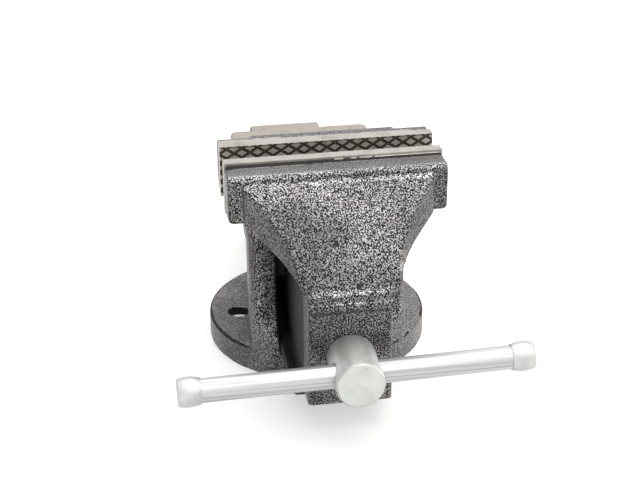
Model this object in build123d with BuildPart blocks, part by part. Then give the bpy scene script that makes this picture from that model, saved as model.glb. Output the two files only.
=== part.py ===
from build123d import *
import math
import os

# Bench vise on a fixed round base, in millimetres.
# Origin: centre of the base's underside. +X along the jaws, -Y towards the handle, +Z up.

# ---- Jaws ----
jaw_width = 100.0
jaw_opening = 13.3            # gap between the gripping faces at rest
fixed_face_y = -37.0          # gripping face of the fixed plate
jaw_top_z = 115.5             # datum for the tops of both castings
fixed_jaw_depth = 8.6         # fixed jaw casting behind its plate
fixed_jaw_rise = 0.9          # its top stands this far above the datum
fixed_jaw_round = 1.2         # its rear top edge
moving_jaw_depth = 13.1       # moving jaw casting in front of its plate
moving_jaw_rise = 0.5         # the moving casting's top above the datum
jaw_foot_rise = 0.3           # it ends this far above its plate's foot
jaw_round = 3.2               # its outer top edge
jaw_corner = 2.5
jaw_edge = 1.0
seat_lip_width = 1.25         # bare lip left standing along its plate
seat_lip_height = 1.25
seat_lip_setback = 1.0        # from the casting's ends
jaw_underside_rise = 10.5     # the fixed jaw's rear curves in below this height above its plate's foot

# ---- Jaw plates ----
plate_thickness = 6.2
plate_height = 24.4
plate_proud = 2.4             # how far the plates stand above the datum
plate_edge = 0.4              # chamfer all round the gripping face
knurl_pitch_x = 7.2
knurl_pitch_z = 4.5
knurl_groove = 1.3
knurl_depth = 0.6

# ---- Countersunk plate screws ----
screw_spacing = 56.0
screw_radius = 4.0
screw_length = 13.0
screw_head_radius = 7.4
screw_sunk = 0.8              # how far the head lies below the gripping face
screw_socket = 5.0            # across the flats
screw_socket_depth = 2.6
screw_clearance = 0.15
hole_run_out = 1.0            # tapped holes go this much deeper than their fasteners
head_clearance = 0.1
thread_fit = 0.1              # between a fastener and its tapped hole

# ---- Round base ----
base_radius = 54.6
base_height = 12.5
base_plate = 5.0              # thickness of the plate inside the rim
base_rim = 7.0                # radial thickness of the rim
base_edge = 1.2
nose_half_width = 22.0        # lip of the base under the front of the channel
nose_front_y = -65.5
nose_corner = 3.0
bolt_hole_radius = 5.0
bolt_hole_spacing = 80.0

# ---- Fixed body ----
column_half_width = 38.0
column_front_y = -38.8
column_depth = 13.0
column_corner = 5.0
column_flare = 8.5            # the columns widen this much under the jaw
column_flare_height = 29.0
column_ledge_drop = 1.0       # the columns end this far below the jaw plate
foot_top_z = 40.0             # the columns' feet sweep out to the rim below this
foot_toe_rise = 4.0           # where they meet the rim, above the base's top
housing_wall = 5.1            # beside the channel
housing_rear_y = 42.0
housing_corner = 5.0
base_fillet = 2.5             # where the housing stands on the base
anvil_half_width = 36.0
anvil_rear_y = 58.0
anvil_top_z = 88.0
anvil_thickness = 13.0
anvil_corner = 3.5
anvil_edge = 0.8
corbel_height = 10.0          # slope under the anvil's overhang
gusset_half_width = 36.0
gusset_shelf = 1.6            # how far its flat top runs back behind the jaw
gusset_depth = 25.0           # how far it runs back over the anvil
gusset_round = 3.0
neck_depth = 19.0             # of the neck between the columns and the jaw

# ---- Beam of the moving jaw ----
beam_half_width = 19.4
beam_bottom_z = 14.3
beam_top_z = 69.0
beam_rear_y = 113.0
beam_wall = 6.4
beam_roof = 13.0
beam_corner = 2.0
beam_edge = 1.5
front_face_y = -99.0
front_wall = 15.0
rail_reach = 5.6              # how far a rail stands out from the beam's side
rail_height = 5.7
rail_setback = 17.0           # the rails start this far behind the front face
slide_clearance = 0.3         # between the beam and its channel, all round

# ---- Channel through the fixed body ----
guide_bottom_z = 47.0         # side guides that hold the beam's flanks
guide_height = 7.0
pocket_relief = 4.3           # how far the channel steps out above the guides
pocket_slope = 3.0
mouth_depth = 7.0             # the guides start this far behind the columns' front

# ---- Sloping front wall of the moving jaw ----
slope_bottom_z = 70.0
slope_top_drop = 3.5          # the slope meets the jaw this far below its top
slope_middle_z = 90.0
slope_middle_y = -88.7
slope_lean = 0.669            # rearward per unit of height at the middle
slope_bulge = 0.0062
slope_root_half_width = 43.0
slope_edge_radius = 67.0      # concave sides of the front face
slope_edge_start_z = 60.0
flare_lean = 1.335            # rearward per unit of height, outer edge of the flare
flare_middle_y = -77.2
flare_rise = 0.36             # how the flare's half width grows with height
flare_growth = 0.0255
wall_thickness = 8.0
ridge_bottom_z = 61.5
ridge_height = 9.5
ridge_reach = 1.8
ridge_round = 1.8
bead_height = 4.9             # second, lower step of the ridge
bead_reach = 2.9
bead_round = 1.0
bead_foot_round = 2.4
web_inset = 2.4               # of the web's sides from the beam's
web_depth = 3.0               # how far the web starts behind the wall's face
web_rear_gap = 1.5            # between the web and the jaw plate
web_rear_lean = 10.5
web_rear_drop = 12.0

# ---- Spindle ----
spindle_z = 38.8
head_radius = 11.0
head_length = 26.3
head_chamfer = 0.8
shoulder_gap = 0.3            # between the head's shoulder and the casting
cross_hole_setback = 10.6     # axis of the handle's hole, behind the head's face
cross_hole_rim = 1.6
journal_radius = 9.0
journal_clearance = 0.08
thread_radius = 8.75
thread_height = 1.9
spindle_end_y = 100.0

# ---- Handle ----
bar_radius = 5.4
bar_clearance = 0.35
bar_chamfer = 0.6
handle_length = 159.0
handle_offset = 0.4           # the bar rests this far off centre
handle_turn = 1.2             # and its right end this many degrees high
cap_radius = 6.75             # at the fullest place of the barrel
cap_inner_radius = 5.8
cap_outer_radius = 6.0
cap_length = 10.4
cap_fullest = 6.0             # the fullest place, from the cap's inner end
cap_bore_depth = 7.6
cap_fit = 0.05
cap_round = 0.9

# ---- Spindle nut and its bolt ----
nut_front_y = -18.0
nut_length = 32.0
nut_height = 37.0
nut_clearance = 0.6           # to the inside of the beam
nut_chamfer = 4.0
nut_thread_clearance = 0.08
nut_bolt_radius = 4.0
nut_bolt_hole = 4.5
nut_bolt_reach = 11.0         # how far the bolt goes into the nut
nut_bolt_flats = 13.0
nut_bolt_head = 4.0
nut_washer_radius = 8.0
nut_washer_thickness = 1.5

# ---- Take-up spring behind the front wall ----
spring_wire = 1.9
spring_radius = 10.3
spring_length = 19.0
spring_turns = 5
washer_thickness = 1.6
washer_radius = 12.2
washer_bore = 9.1
pin_radius = 2.0
pin_bore = 1.1
pin_slot = 0.8
pin_length = 21.0
pin_fit = 0.05
seat_gap = 0.1                # between pieces that bear on each other

# ---- Worked out from the sizes above ----
plate_top_z = jaw_top_z + plate_proud
plate_bottom_z = plate_top_z - plate_height
moving_face_y = fixed_face_y - jaw_opening
fixed_seat_y = fixed_face_y + plate_thickness
moving_seat_y = moving_face_y - plate_thickness
fixed_jaw_rear_y = fixed_seat_y + fixed_jaw_depth
moving_jaw_front_y = moving_seat_y - moving_jaw_depth
moving_jaw_top_z = jaw_top_z + moving_jaw_rise
fixed_jaw_top_z = jaw_top_z + fixed_jaw_rise
jaw_bottom_z = plate_bottom_z + jaw_foot_rise
screw_z = (jaw_top_z + plate_bottom_z) / 2
slope_top_z = jaw_top_z - slope_top_drop
column_rear_y = column_front_y + column_depth
column_top_z = plate_bottom_z - column_ledge_drop
flare_bottom_z = plate_bottom_z - column_flare_height
foot_toe_z = base_height + foot_toe_rise
neck_rear_y = fixed_seat_y + neck_depth
base_plate_z = base_height - base_plate
channel_floor_z = beam_bottom_z - slide_clearance
channel_top_z = beam_top_z + slide_clearance
rail_half_width = beam_half_width + rail_reach
rail_front_y = front_face_y + rail_setback
channel_half_width = rail_half_width + slide_clearance
guide_half_width = beam_half_width + slide_clearance
guide_top_z = guide_bottom_z + guide_height
pocket_half_width = guide_half_width + pocket_relief
housing_half_width = channel_half_width + housing_wall
anvil_bottom_z = anvil_top_z - anvil_thickness
web_half_width = beam_half_width - web_inset
hollow_half_width = beam_half_width - beam_wall
hollow_top_z = beam_top_z - beam_roof
inner_wall_y = front_face_y + front_wall
beam_length = beam_rear_y - front_face_y
shoulder_y = front_face_y - shoulder_gap
head_front_y = shoulder_y - head_length
cross_hole_y = head_front_y + cross_hole_setback
front_washer_y = inner_wall_y + seat_gap
spring_y = front_washer_y + washer_thickness + seat_gap
rear_washer_y = spring_y + spring_length + seat_gap
pin_y = rear_washer_y + washer_thickness + seat_gap + pin_radius
nut_middle_y = nut_front_y + nut_length / 2
bar_length = handle_length - 2 * (cap_length - cap_bore_depth)
standing = (Align.CENTER, Align.CENTER, Align.MIN)
spindle_axis = Axis((0, 0, spindle_z), (0, 1, 0))


def facing_front(y):
    """Upright plane at y, drawn in X and Z, facing the handle."""
    return Plane(origin=(0, y, 0), x_dir=(1, 0, 0), z_dir=(0, -1, 0))


def facing_rear(y):
    """Upright plane at y, drawn in -X and Z, facing away from the handle."""
    return Plane(origin=(0, y, 0), x_dir=(-1, 0, 0), z_dir=(0, 1, 0))


def side_on(x):
    """Upright plane at x, drawn in Y and Z, facing +X."""
    return Plane(origin=(x, 0, 0), x_dir=(0, 1, 0), z_dir=(1, 0, 0))


def screw_places(face):
    """Where the two screws enter a plate, with the face's plane."""
    return [face.location * Location((x, screw_z, 0)) for x in (-screw_spacing / 2, screw_spacing / 2)]


fixed_grip = facing_front(fixed_face_y)
moving_grip = facing_rear(moving_face_y)


# ---- Fixed body: columns, their feet sweeping out to the rim ----
with BuildPart() as columns:
    with BuildSketch(side_on(-jaw_width / 2)):
        with BuildLine():
            TangentArc((column_front_y, foot_top_z), (-base_radius, foot_toe_z), tangent=(0, -1))
            Polyline(
                (-base_radius, foot_toe_z),
                (-base_radius, base_plate_z),
                (column_rear_y, base_plate_z),
                (column_rear_y, column_top_z),
                (column_front_y, column_top_z),
                (column_front_y, foot_top_z),
            )
        make_face()
    extrude(amount=jaw_width)
    with BuildSketch(facing_front(-base_radius)):
        with BuildLine():
            wide = column_half_width + column_flare
            Line((column_half_width, base_plate_z), (column_half_width, flare_bottom_z))
            TangentArc((column_half_width, flare_bottom_z), (wide, column_top_z), tangent=(0, 1))
            Polyline(
                (wide, column_top_z),
                (0, column_top_z),
                (0, base_plate_z),
                (column_half_width, base_plate_z),
            )
        make_face()
        mirror(about=Plane.YZ)
    extrude(amount=-2 * base_radius, mode=Mode.INTERSECT)
    front_edges = columns.edges().filter_by(
        lambda edge: abs(edge.center().X) > column_half_width - 1
        and edge.center().Y < column_front_y + 1
        and foot_toe_z < edge.center().Z < column_top_z
    )
    fillet(front_edges, column_corner)
    with BuildSketch(Plane.XY.offset(base_plate_z)):
        Circle(2 * base_radius)
        Circle(base_radius, mode=Mode.SUBTRACT)
    extrude(amount=foot_top_z - base_plate_z, mode=Mode.SUBTRACT)

# ---- Fixed body: housing round the channel ----
with BuildPart() as housing:
    with BuildSketch(Plane.XY.offset(base_plate_z)):
        with Locations((0, (column_rear_y + housing_rear_y) / 2)):
            Rectangle(2 * housing_half_width, housing_rear_y - column_rear_y)
    extrude(amount=anvil_bottom_z - base_plate_z)
    fillet(housing.edges().filter_by(Axis.Z).group_by(Axis.Y)[-1], housing_corner)

# ---- Fixed body: lip of the base in front of the channel ----
with BuildPart() as nose:
    with BuildSketch():
        with Locations((0, nose_front_y / 2)):
            Rectangle(2 * nose_half_width, -nose_front_y)
    extrude(amount=base_height)
    fillet(nose.edges().filter_by(Axis.Z).group_by(Axis.Y)[0], nose_corner)
    fillet(nose.faces().sort_by(Axis.Z)[-1].edges().sort_by(Axis.Y)[:-1], base_edge)

# ---- Fixed body: anvil on its corbel ----
with BuildPart() as anvil:
    with BuildSketch(Plane.XY.offset(anvil_bottom_z)):
        with Locations((0, (fixed_seat_y + anvil_rear_y) / 2)):
            Rectangle(2 * anvil_half_width, anvil_rear_y - fixed_seat_y)
    extrude(amount=anvil_thickness)
    fillet(anvil.edges().filter_by(Axis.Z).group_by(Axis.Y)[-1], anvil_corner)
    chamfer(anvil.faces().sort_by(Axis.Z)[-1].edges().group_by(Axis.Y)[1:], anvil_edge)
    fillet(anvil.faces().sort_by(Axis.Z)[0].edges().group_by(Axis.Y)[1:], anvil_corner - anvil_edge)

with BuildPart() as corbel:
    with BuildSketch(side_on(-housing_half_width)):
        with BuildLine():
            corbel_rear_y = anvil_rear_y - anvil_corner
            Polyline(
                (column_rear_y, anvil_bottom_z - corbel_height),
                (housing_rear_y - housing_corner, anvil_bottom_z - corbel_height),
                (corbel_rear_y, anvil_bottom_z),
                (corbel_rear_y, anvil_top_z - anvil_corner),
                (column_rear_y, anvil_top_z - anvil_corner),
                close=True,
            )
        make_face()
    extrude(amount=2 * housing_half_width)

# ---- Fixed body: neck and gusset that carry the jaw ----
with BuildPart() as neck:
    with BuildSketch(side_on(-column_half_width)):
        with BuildLine():
            Polyline(
                (fixed_seat_y, flare_bottom_z),
                (neck_rear_y - column_corner, flare_bottom_z),
                (neck_rear_y, flare_bottom_z + column_corner),
                (neck_rear_y, anvil_bottom_z + column_corner),
                (fixed_jaw_rear_y, plate_bottom_z + jaw_underside_rise),
                (fixed_seat_y, plate_bottom_z + jaw_underside_rise),
                close=True,
            )
        make_face()
    extrude(amount=2 * column_half_width)

with BuildPart() as gusset:
    with BuildSketch(side_on(-gusset_half_width)):
        with BuildLine():
            Polyline(
                (fixed_seat_y, anvil_bottom_z + anvil_corner),
                (fixed_jaw_rear_y + gusset_depth, anvil_bottom_z + anvil_corner),
                (fixed_jaw_rear_y + gusset_depth, anvil_top_z),
                (fixed_jaw_rear_y + gusset_shelf, fixed_jaw_top_z),
                (fixed_seat_y, fixed_jaw_top_z),
                close=True,
            )
        make_face()
    extrude(amount=2 * gusset_half_width)
    upper_faces = gusset.faces().filter_by(lambda face: face.normal_at().Z > 0.1)
    fillet(upper_faces.edges().filter_by(lambda edge: abs(edge.center().X) > gusset_half_width - 1),
           gusset_round)

# ---- Fixed body: jaw ----
with BuildPart() as fixed_jaw:
    with BuildSketch(side_on(-jaw_width / 2)):
        with BuildLine():
            low_z = plate_bottom_z + jaw_underside_rise
            Line((fixed_seat_y, plate_bottom_z), (fixed_seat_y, fixed_jaw_top_z))
            Line((fixed_seat_y, fixed_jaw_top_z), (fixed_jaw_rear_y, fixed_jaw_top_z))
            Line((fixed_jaw_rear_y, fixed_jaw_top_z), (fixed_jaw_rear_y, low_z))
            TangentArc((fixed_jaw_rear_y, low_z), (fixed_seat_y + 1, plate_bottom_z), tangent=(0, -1))
            Line((fixed_seat_y + 1, plate_bottom_z), (fixed_seat_y, plate_bottom_z))
        make_face()
    extrude(amount=jaw_width)
    rear_top = fixed_jaw.edges().filter_by(Axis.X).group_by(Axis.Z)[-1].sort_by(Axis.Y)[-1]
    fillet(rear_top, fixed_jaw_round)

with BuildPart() as fixed_body:
    Cylinder(base_radius, base_height, align=standing)
    top_rim = fixed_body.edges().filter_by(GeomType.CIRCLE).sort_by(Axis.Z)[-1]
    fillet(top_rim, base_edge)
    add(housing.part)
    housing_foot = fixed_body.edges().filter_by(
        lambda edge: abs(edge.center().Z - base_height) < base_fillet / 10
        and edge.length < base_radius * 2
    )
    fillet(housing_foot, base_fillet)
    for block in (columns, corbel, anvil, neck, gusset, fixed_jaw):
        add(block.part)

    # Channel for the beam: wide below for the rails, narrow at the guides
    with BuildSketch(facing_front(-base_radius)):
        with BuildLine():
            Polyline(
                (0, channel_floor_z),
                (channel_half_width, channel_floor_z),
                (channel_half_width, guide_bottom_z),
                (guide_half_width, guide_bottom_z),
                (guide_half_width, guide_top_z),
                (pocket_half_width, guide_top_z + pocket_slope),
                (pocket_half_width, channel_top_z),
                (0, channel_top_z),
                close=True,
            )
        make_face()
        mirror(about=Plane.YZ)
    extrude(amount=-base_radius - housing_rear_y - housing_corner, mode=Mode.SUBTRACT)
    with BuildSketch(facing_front(-base_radius)):
        with Locations((0, (channel_floor_z + channel_top_z) / 2)):
            Rectangle(2 * channel_half_width, channel_top_z - channel_floor_z)
    extrude(amount=-base_radius - column_front_y - mouth_depth, mode=Mode.SUBTRACT)

    add(nose.part)

    # Hollow underside, bolt holes, tapped holes for the plate, hole for the nut's bolt
    Cylinder(base_radius - base_rim, base_plate_z, align=standing, mode=Mode.SUBTRACT)
    with Locations((-bolt_hole_spacing / 2, 0, base_height), (bolt_hole_spacing / 2, 0, base_height)):
        Hole(bolt_hole_radius, base_height)
    with Locations((0, nut_middle_y, channel_floor_z)):
        Hole(nut_bolt_hole, channel_floor_z)
    with Locations(*screw_places(facing_front(fixed_seat_y))):
        Hole(screw_radius + thread_fit, screw_length - plate_thickness + screw_sunk + hole_run_out)

# ---- Moving jaw: the jaw itself ----
with BuildPart() as jaw_block:
    with BuildSketch(Plane.XY.offset(jaw_bottom_z)):
        with Locations((0, (moving_seat_y + moving_jaw_front_y) / 2)):
            Rectangle(jaw_width, moving_jaw_depth)
    extrude(amount=moving_jaw_top_z - jaw_bottom_z)
    front_face = jaw_block.faces().sort_by(Axis.Y)[0]
    fillet(front_face.edges().filter_by(Axis.X).sort_by(Axis.Z)[-1], jaw_round)
    fillet(jaw_block.edges().filter_by(Axis.Y).group_by(Axis.Z)[0], jaw_corner)
    front_face = jaw_block.faces().sort_by(Axis.Y)[0]
    fillet(front_face.edges().filter_by(Axis.Z), jaw_edge)
    with BuildSketch(Plane.XY.offset(moving_jaw_top_z)):
        with Locations((0, moving_seat_y - seat_lip_width / 2)):
            Rectangle(jaw_width - 2 * seat_lip_setback, seat_lip_width)
    extrude(amount=seat_lip_height)


# ---- Moving jaw: sloping front wall with flared sides ----
def slope_y(z):
    rise = z - slope_middle_z
    return slope_middle_y + slope_lean * rise + slope_bulge * rise**2


def slope_half_width(z):
    rise = z - slope_edge_start_z
    return min(beam_half_width + slope_edge_radius - math.sqrt(slope_edge_radius**2 - rise**2),
               slope_root_half_width - 0.5)


def flare_half_width(z):
    rise = z - slope_bottom_z
    return min(slope_half_width(slope_bottom_z) + 0.4 + flare_rise * rise + flare_growth * rise**2,
               slope_root_half_width)


def flare_y(z):
    return max(flare_middle_y + flare_lean * (z - slope_middle_z), slope_y(z) + 0.9)


def lower_section(z):
    """Front edge, flare's outer edge and rear edge of the wall below the jaw."""
    inner = flare_half_width(z) - wall_thickness / 2
    return [(slope_half_width(z), slope_y(z)), (flare_half_width(z), flare_y(z)),
            (inner, flare_y(z) + wall_thickness)]


def upper_section(z):
    """The same where the wall runs into the jaw."""
    return [(slope_half_width(z), slope_y(z)), (slope_root_half_width, flare_y(jaw_bottom_z)),
            (slope_root_half_width, moving_seat_y - 3)]


def wall_through(section, heights):
    with BuildPart() as wall:
        for z in heights:
            with BuildSketch(Plane.XY.offset(z)):
                right = section(z)
                left = [(-x, y) for x, y in reversed(right)]
                with BuildLine():
                    Polyline(*right, *left, close=True)
                make_face()
        loft()
    return wall.part


lower_wall = wall_through(
    lower_section, [slope_bottom_z + (jaw_bottom_z - slope_bottom_z) * i / 4 for i in range(5)])
upper_wall = wall_through(
    upper_section, [jaw_bottom_z + (slope_top_z - jaw_bottom_z) * i / 3 for i in range(4)])

# ---- Moving jaw: ridge under the slope ----
with BuildPart() as ridge:
    for height, reach in ((ridge_height, ridge_reach), (bead_height, bead_reach)):
        with BuildSketch(Plane.XY.offset(ridge_bottom_z)):
            with Locations((0, front_face_y + ridge_height / 2 - reach)):
                Rectangle(2 * beam_half_width, ridge_height)
        extrude(amount=height)
    bead_front, ridge_front = ridge.faces().filter_by(Axis.Y).sort_by(Axis.Y)[:2]
    bead_edges = bead_front.edges().filter_by(Axis.X).sort_by(Axis.Z)
    ridge_edge = ridge_front.edges().filter_by(Axis.X).sort_by(Axis.Z)[-1]
    fillet(ridge_edge, ridge_round)
    fillet(bead_edges[-1], bead_round)
    fillet(ridge.faces().sort_by(Axis.Y)[0].edges().filter_by(Axis.X).sort_by(Axis.Z)[0], bead_foot_round)

with BuildPart() as moving_jaw:
    # Front block and beam
    with BuildSketch(facing_front(front_face_y)):
        with Locations((0, (beam_bottom_z + beam_top_z) / 2)):
            Rectangle(2 * beam_half_width, beam_top_z - beam_bottom_z)
    extrude(amount=-beam_length)
    fillet(moving_jaw.edges().filter_by(Axis.Z).group_by(Axis.Y)[0], beam_corner)
    fillet(moving_jaw.edges().filter_by(Axis.Y).group_by(Axis.Z)[-1], beam_edge)
    with BuildSketch(facing_front(rail_front_y)):
        with Locations((0, beam_bottom_z + rail_height / 2)):
            Rectangle(2 * rail_half_width, rail_height)
    extrude(amount=rail_front_y - beam_rear_y)
    add(ridge.part)
    add(lower_wall)
    add(upper_wall)
    add(jaw_block.part)

    # Web between the beam and the jaw
    with BuildSketch(side_on(-web_half_width)):
        with BuildLine():
            web_top_z = slope_top_z - web_depth
            web_rear_y = moving_seat_y - web_rear_gap
            web_foot_z = beam_top_z - beam_corner
            Polyline(
                (slope_y(slope_bottom_z) + web_depth, web_foot_z),
                (slope_middle_y + web_depth, slope_middle_z),
                (moving_jaw_front_y + web_depth, web_top_z),
                (web_rear_y, web_top_z),
                (web_rear_y, jaw_bottom_z),
                (web_rear_y - web_rear_lean / 2, jaw_bottom_z - web_rear_drop),
                (web_rear_y - web_rear_lean, web_foot_z),
                close=True,
            )
        make_face()
    extrude(amount=2 * web_half_width)

    # Hollow of the beam, open below and behind; bore for the spindle; tapped holes for the plate
    with BuildSketch(facing_front(inner_wall_y)):
        with Locations((0, (beam_bottom_z + hollow_top_z) / 2)):
            Rectangle(2 * hollow_half_width, hollow_top_z - beam_bottom_z)
    extrude(amount=inner_wall_y - beam_rear_y, mode=Mode.SUBTRACT)
    with Locations(facing_front(front_face_y).location * Location((0, spindle_z, 0))):
        Hole(journal_radius + journal_clearance, front_wall)
    with Locations(*screw_places(facing_rear(moving_seat_y))):
        Hole(screw_radius + thread_fit, screw_length - plate_thickness + screw_sunk + hole_run_out)


# ---- Jaw plates and their screws ----
def jaw_plate(grip):
    with BuildPart() as plate:
        with BuildSketch(grip):
            with Locations((0, plate_bottom_z + plate_height / 2)):
                Rectangle(jaw_width, plate_height)
        extrude(amount=-plate_thickness)
        chamfer(plate.faces().filter_by(lambda face: face.normal_at().dot(grip.z_dir) > 0.9).edges(), plate_edge)
        rake = math.degrees(math.atan2(knurl_pitch_z, knurl_pitch_x))
        rows = math.ceil((jaw_width * knurl_pitch_z / knurl_pitch_x + plate_height) / (2 * knurl_pitch_z))
        with BuildSketch(grip):
            with Locations(*[(0, plate_bottom_z + plate_height / 2 + knurl_pitch_z * i)
                             for i in range(-rows, rows + 1)]):
                Rectangle(jaw_width + 2 * plate_height, knurl_groove, rotation=rake)
                Rectangle(jaw_width + 2 * plate_height, knurl_groove, rotation=-rake)
        extrude(amount=-knurl_depth, mode=Mode.SUBTRACT)
        with BuildSketch(grip):
            with Locations((-screw_spacing / 2, screw_z), (screw_spacing / 2, screw_z)):
                Circle(screw_head_radius + head_clearance)
        extrude(amount=-screw_sunk, mode=Mode.SUBTRACT)
        with Locations(*screw_places(grip.offset(-screw_sunk))):
            CounterSinkHole(screw_radius + screw_clearance, screw_head_radius + head_clearance,
                            plate_thickness, 90)
    return plate.part


def plate_screws(grip):
    with BuildPart() as screws:
        with Locations(*screw_places(grip.offset(-screw_sunk))):
            Cylinder(screw_radius, screw_length, align=(Align.CENTER, Align.CENTER, Align.MAX))
            Cone(screw_radius, screw_head_radius, screw_head_radius - screw_radius,
                 align=(Align.CENTER, Align.CENTER, Align.MAX))
        with BuildSketch(grip.offset(-screw_sunk)):
            with Locations((-screw_spacing / 2, screw_z), (screw_spacing / 2, screw_z)):
                RegularPolygon(screw_socket / 2, 6, major_radius=False)
        extrude(amount=-screw_socket_depth, mode=Mode.SUBTRACT)
    return screws.part


fixed_jaw_plate = jaw_plate(fixed_grip)
moving_jaw_plate = jaw_plate(moving_grip)
fixed_jaw_screws = plate_screws(fixed_grip)
moving_jaw_screws = plate_screws(moving_grip)

# ---- Spindle ----
with BuildPart() as spindle:
    with BuildSketch(side_on(0)):
        with BuildLine():
            Polyline(
                (head_front_y, spindle_z),
                (head_front_y, spindle_z + head_radius - head_chamfer),
                (head_front_y + head_chamfer, spindle_z + head_radius),
                (shoulder_y, spindle_z + head_radius),
                (shoulder_y, spindle_z + journal_radius),
                (inner_wall_y, spindle_z + journal_radius),
                (inner_wall_y, spindle_z + thread_radius),
                (spindle_end_y - thread_height, spindle_z + thread_radius),
                (spindle_end_y, spindle_z + thread_radius - thread_height),
                (spindle_end_y, spindle_z),
                close=True,
            )
        make_face()
    revolve(axis=spindle_axis)
    with BuildSketch(side_on(0)):
        with Locations((cross_hole_y, spindle_z)):
            Circle(bar_radius + bar_clearance)
    extrude(amount=head_radius, both=True, mode=Mode.SUBTRACT)
    rim_x = math.sqrt(head_radius**2 - (bar_radius + bar_clearance) ** 2)
    for side in (1, -1):
        rim_plane = Plane(origin=(side * rim_x, cross_hole_y, spindle_z), x_dir=(0, 1, 0), z_dir=(side, 0, 0))
        with Locations(rim_plane.location):
            Cone(bar_radius + bar_clearance, bar_radius + bar_clearance + 2 * cross_hole_rim, 2 * cross_hole_rim,
                 align=standing, mode=Mode.SUBTRACT)
    with Locations((0, pin_y, spindle_z)):
        Cylinder(pin_radius + pin_fit, pin_length, mode=Mode.SUBTRACT)

# ---- Handle ----
crosswise = Plane(origin=(handle_offset, cross_hole_y, spindle_z), x_dir=(0, 1, 0), z_dir=(1, 0, 0))
with BuildPart() as handle_bar:
    with BuildSketch(crosswise):
        Circle(bar_radius)
    extrude(amount=bar_length / 2, both=True)
    chamfer(handle_bar.edges().filter_by(GeomType.CIRCLE), bar_chamfer)


def handle_cap(side):
    """Barrel-shaped cap pressed over one end of the bar."""
    inner_x = handle_offset + side * (handle_length / 2 - cap_length)
    outwards = Plane(origin=(inner_x, cross_hole_y, spindle_z), x_dir=(side, 0, 0), z_dir=(0, -side, 0))
    with BuildPart() as cap:
        with BuildSketch(outwards):
            with BuildLine():
                ThreePointArc((0, cap_inner_radius), (cap_fullest, cap_radius), (cap_length, cap_outer_radius))
                Polyline(
                    (cap_length, cap_outer_radius),
                    (cap_length, 0),
                    (cap_bore_depth, 0),
                    (cap_bore_depth, bar_radius + cap_fit),
                    (0, bar_radius + cap_fit),
                    (0, cap_inner_radius),
                )
            make_face()
        revolve(axis=Axis((inner_x, cross_hole_y, spindle_z), (1, 0, 0)))
        outer_face = cap.faces().sort_by(Axis.X)[-1 if side > 0 else 0]
        fillet(outer_face.edges(), cap_round)
    return cap.part


handle_cap_left = handle_cap(-1)
handle_cap_right = handle_cap(1)

# ---- Spindle nut, its bolt and washer ----
with BuildPart() as spindle_nut:
    with BuildSketch(Plane.XY.offset(channel_floor_z)):
        with Locations((0, nut_middle_y)):
            Rectangle(2 * (hollow_half_width - nut_clearance), nut_length)
    extrude(amount=nut_height)
    chamfer(spindle_nut.faces().sort_by(Axis.Z)[-1].edges().filter_by(Axis.Y), nut_chamfer)
    with Locations(facing_front(nut_front_y).location * Location((0, spindle_z, 0))):
        Hole(thread_radius + nut_thread_clearance, nut_length)
    with Locations(Plane(origin=(0, nut_middle_y, channel_floor_z), z_dir=(0, 0, -1)).location):
        Hole(nut_bolt_radius + thread_fit, nut_bolt_reach + hole_run_out)

with BuildPart() as nut_bolt:
    head_top_z = base_plate_z - nut_washer_thickness
    with BuildSketch(Plane.XY.offset(head_top_z - nut_bolt_head)):
        with Locations((0, nut_middle_y)):
            RegularPolygon(nut_bolt_flats / 2, 6, major_radius=False)
    extrude(amount=nut_bolt_head)
    with BuildSketch(Plane.XY.offset(head_top_z)):
        with Locations((0, nut_middle_y)):
            Circle(nut_bolt_radius)
    extrude(amount=channel_floor_z + nut_bolt_reach - head_top_z)

with BuildPart() as nut_washer:
    with BuildSketch(Plane.XY.offset(base_plate_z - nut_washer_thickness)):
        with Locations((0, nut_middle_y)):
            Circle(nut_washer_radius)
            Circle(nut_bolt_radius + thread_fit, mode=Mode.SUBTRACT)
    extrude(amount=nut_washer_thickness)


# ---- Take-up spring between two washers, held by a slotted pin ----
def spring_washer(y):
    with BuildPart() as washer:
        with BuildSketch(facing_front(y)):
            with Locations((0, spindle_z)):
                Circle(washer_radius)
                Circle(washer_bore, mode=Mode.SUBTRACT)
        extrude(amount=-washer_thickness)
    return washer.part


front_spring_washer = spring_washer(front_washer_y)
rear_spring_washer = spring_washer(rear_washer_y)

coil_height = spring_length - spring_wire
with BuildPart() as takeup_spring:
    with BuildLine():
        coil = Helix(coil_height / spring_turns, coil_height, spring_radius,
                     center=(0, spring_y + spring_wire / 2, spindle_z), direction=(0, 1, 0))
    with BuildSketch(Plane(origin=coil @ 0, z_dir=coil % 0)):
        Circle(spring_wire / 2)
    sweep(is_frenet=True)

with BuildPart() as retaining_pin:
    with BuildSketch(Plane.XY.offset(spindle_z - pin_length / 2)):
        with Locations((0, pin_y)):
            Circle(pin_radius)
            Circle(pin_bore, mode=Mode.SUBTRACT)
        with Locations((0, pin_y + pin_radius)):
            Rectangle(pin_slot, 2 * pin_radius, mode=Mode.SUBTRACT)
    extrude(amount=pin_length)


def at_rest(piece):
    """What turns with the spindle, as far round as it rests."""
    return piece.rotate(spindle_axis, -handle_turn)


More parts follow.
